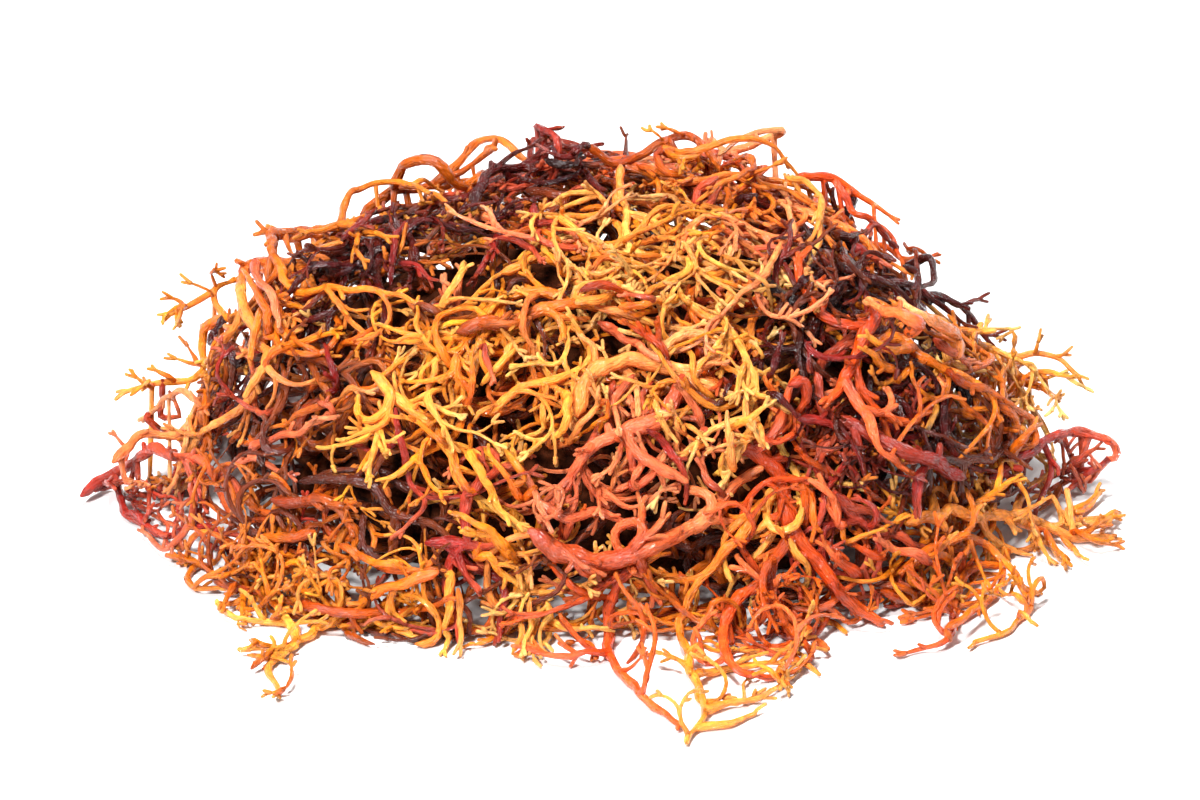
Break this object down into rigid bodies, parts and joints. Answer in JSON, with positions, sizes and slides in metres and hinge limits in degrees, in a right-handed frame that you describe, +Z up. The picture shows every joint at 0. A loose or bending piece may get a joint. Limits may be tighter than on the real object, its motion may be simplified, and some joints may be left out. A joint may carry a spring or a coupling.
{
  "type": "irish moss seaweed",
  "caption": "Loose heap of dried branching seaweed fronds, tangled round a packed middle and lying flat on a surface.",
  "frame": {"origin": "on the surface that the heap lies on, under the middle of the heap", "axes": "+Z up, +X along the heap's length to the right of the viewer, -Y towards the viewer"},
  "size_m": [0.229, 0.1902, 0.0756],
  "materials": {
    "pale": "glossy, moist, pale yellow",
    "gold": "glossy, moist, golden",
    "amber": "glossy, moist, amber brown",
    "orange": "glossy, moist, orange",
    "salmon": "glossy, moist, salmon pink",
    "rose": "glossy, moist, rose red",
    "maroon": "glossy, moist, dark maroon",
    "umber": "glossy, moist, dark umber"
  },
  "bodies": {
    "root": {"inner_tangle": "umber", "dark_crest_left": "maroon", "dark_knot_right": "maroon", "maroon_hollow": "maroon", "umber_left_band": "umber", "umber_low_left": "umber", "rose_low_right": "rose", "umber_right_flank": "umber", "umber_summit": "umber", "left_rose_loop": "rose", "left_salmon_arch": "salmon", "left_gold_antler": "gold", "left_orange_stem": "orange", "crest_tan_loop": "amber", "summit_dark_knot": "maroon", "summit_amber_arc": "amber", "crest_right_arc": "orange", "right_pale_spray": "salmon", "right_amber_mass": "amber", "dark_right_spray": "maroon", "right_rose_loop": "rose", "right_tan_fan": "amber", "maroon_sling": "rose", "orange_sling": "orange", "low_left_amber_edge": "amber", "low_left_spined_arc": "amber", "low_left_gold_branch": "gold", "front_orange_foot": "orange", "front_gold_foot": "gold", "front_orange_bundle": "orange", "front_right_loop": "orange", "front_right_gold_loop": "gold", "ochre_fan": "gold", "amber_cross_stem": "amber", "gold_mesh": "pale", "gold_left_stem": "gold", "rose_drop": "rose", "pale_tree": "pale", "pale_left_comb": "pale", "pale_right_arc": "pale", "salmon_crest": "salmon", "salmon_curls": "salmon", "orange_keel": "orange", "pale_centre_feet": "pale", "salmon_loop": "salmon", "pale_antler": "pale", "salmon_cord": "salmon", "rose_bow": "rose", "side_left_amber": "amber", "side_right_orange": "orange", "back_left_rose": "rose", "back_right_amber": "amber", "back_low_orange": "orange", "back_middle_gold": "gold", "back_middle_maroon": "maroon", "back_high_amber": "amber", "back_high_salmon": "salmon"}
  },
  "joints": []
}
